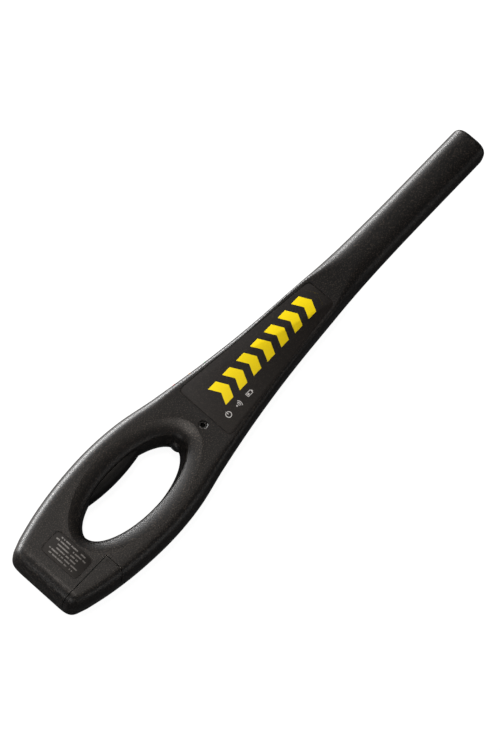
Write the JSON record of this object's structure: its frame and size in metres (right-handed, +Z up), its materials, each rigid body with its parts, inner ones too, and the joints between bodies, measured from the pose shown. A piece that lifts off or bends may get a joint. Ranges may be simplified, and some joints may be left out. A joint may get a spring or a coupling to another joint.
{
  "type": "hand-held metal detector wand",
  "caption": "Hand-held metal detector wand: a flat oval loop handle with a hand hole and push button, a tapered neck with a label, and a long slim sensing tube.",
  "frame": {"origin": "under the middle of the wand, on the surface it lies on", "axes": "+X towards the sensing tip, +Z up through the labelled face, +Y towards the edge with the status lenses"},
  "size_m": [0.47, 0.0854, 0.034],
  "materials": {
    "case": "fine moulded texture, satin",
    "label_film": "fine grained film",
    "rubber": "soft matt",
    "lens_red": "clear tinted",
    "lens_amber": "clear tinted",
    "lens_green": "clear tinted",
    "board": "lacquered",
    "chip": "satin",
    "steel": "plated",
    "copper": "enamelled wire",
    "foam": "open cell foam",
    "nylon": "natural",
    "wire_red": "pvc",
    "wire_black": "pvc",
    "wire_blue": "pvc",
    "battery_can": "printed can"
  },
  "bodies": {
    "wand_case": {"front_shell": "case", "back_shell": "case", "front_label": "label_film", "rating_label": "label_film", "finger_grip_pad": "rubber", "trigger_switch": "chip", "jack_socket": "chip", "lens_red": "lens_red", "led_red": "lens_red", "lens_amber": "lens_amber", "led_amber": "lens_amber", "lens_green": "lens_green", "led_green": "lens_green", "main_pcb": "board", "microcontroller": "chip", "amplifier_chip": "chip", "crystal": "steel", "capacitor_large": "chip", "capacitor_small": "chip", "header_battery": "nylon", "header_motor": "nylon", "header_coil": "nylon", "speaker": "steel", "speaker_gasket": "foam", "vibration_motor": "steel", "motor_cradle": "rubber", "motor_lead": "wire_blue", "battery_9v": "battery_can", "battery_snap": "chip", "battery_foam": "foam", "battery_lead_red": "wire_red", "battery_lead_black": "wire_black", "coil_former": "nylon", "drive_winding": "copper", "sense_winding_rear": "copper", "sense_winding_tip": "copper", "coil_foam": "foam", "coil_lead": "wire_black", "case_screw_butt": "steel", "case_screw_bar_left": "steel", "case_screw_bar_right": "steel", "case_screw_neck_left": "steel", "case_screw_neck_right": "steel", "case_screw_shoulder": "steel"},
    "battery_door": {"battery_door": "case"},
    "trigger_button": {"trigger_button": "rubber"},
    "motor_rotor": {"motor_shaft": "steel", "motor_weight": "steel"}
  },
  "joints": [
    {"name": "door_slide", "type": "slide", "parent": "wand_case", "child": "battery_door", "axis": [-1, 0, 0], "range_m": [0, 0.05]},
    {"name": "button_press", "type": "slide", "parent": "wand_case", "child": "trigger_button", "axis": [1, 0, 0], "range_m": [0, 0.0015], "stiffness_N_per_m": 1200},
    {"name": "motor_spin", "type": "hinge", "parent": "wand_case", "child": "motor_rotor", "pos_m": [-0.2, 0.0195, 0.017], "axis": [1, 0, 0], "continuous": true}
  ]
}
